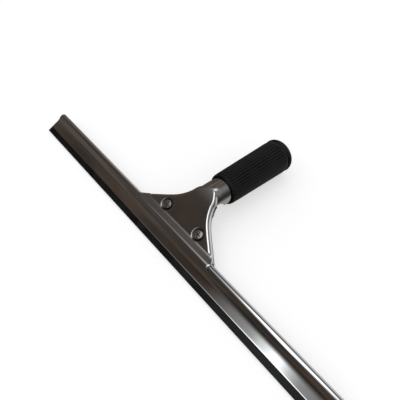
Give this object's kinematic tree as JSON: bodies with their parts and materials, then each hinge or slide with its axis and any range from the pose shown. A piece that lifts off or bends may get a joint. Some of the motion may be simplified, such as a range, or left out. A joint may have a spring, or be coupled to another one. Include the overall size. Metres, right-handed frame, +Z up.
{
  "type": "window squeegee",
  "caption": "Window squeegee: rubber blade in a folded stainless channel, clamped by two screws to a pressed fan-shaped handle with a ribbed rubber grip.",
  "frame": {"origin": "middle of the part's box, on the table that the tool lies on", "axes": "+X along the channel, +Y from the blade's edge to the grip's free end, +Z up from the table, out of the side that shows the screw heads"},
  "size_m": [0.352, 0.1486, 0.034],
  "materials": {
    "steel": "polished stainless sheet",
    "fastener_steel": "plain stainless",
    "blade_rubber": "matt",
    "grip_rubber": "matt, ribbed"
  },
  "bodies": {
    "handle": {"handle_body": "steel", "grip": "grip_rubber"},
    "clamp_plate": {"clamp_plate": "steel", "clamp_nut_left": "fastener_steel", "clamp_nut_right": "fastener_steel"},
    "screw_left": {"clamp_screw_left": "fastener_steel"},
    "screw_right": {"clamp_screw_right": "fastener_steel"},
    "channel": {"channel": "steel"},
    "blade": {"rubber_blade": "blade_rubber", "blade_clip_left": "fastener_steel", "blade_clip_right": "fastener_steel"}
  },
  "joints": [
    {"name": "clamp_plate_lift", "type": "slide", "parent": "handle", "child": "clamp_plate", "axis": [0, 0.4609, -0.8875], "range_m": [0, 0.0021]},
    {"name": "screw_left_turn", "type": "hinge", "parent": "handle", "child": "screw_left", "pos_m": [-0.0195, -0.04653, 0.01651], "axis": [0, -0.4609, 0.8875], "range_deg": [0, 1080]},
    {"name": "screw_right_turn", "type": "hinge", "parent": "handle", "child": "screw_right", "pos_m": [0.0195, -0.04653, 0.01651], "axis": [0, -0.4609, 0.8875], "range_deg": [0, 1080]},
    {"name": "channel_slide", "type": "slide", "parent": "handle", "child": "channel", "axis": [1, 0, 0], "range_m": [-0.129, 0.129]},
    {"name": "blade_slide", "type": "slide", "parent": "channel", "child": "blade", "axis": [1, 0, 0], "range_m": [-0.15, 0.15]}
  ],
  "couplings": [
    {"joint": "screw_left_turn", "follows": "clamp_plate_lift", "rad_per_m": 8975.5},
    {"joint": "screw_right_turn", "follows": "clamp_plate_lift", "rad_per_m": 8975.5}
  ]
}
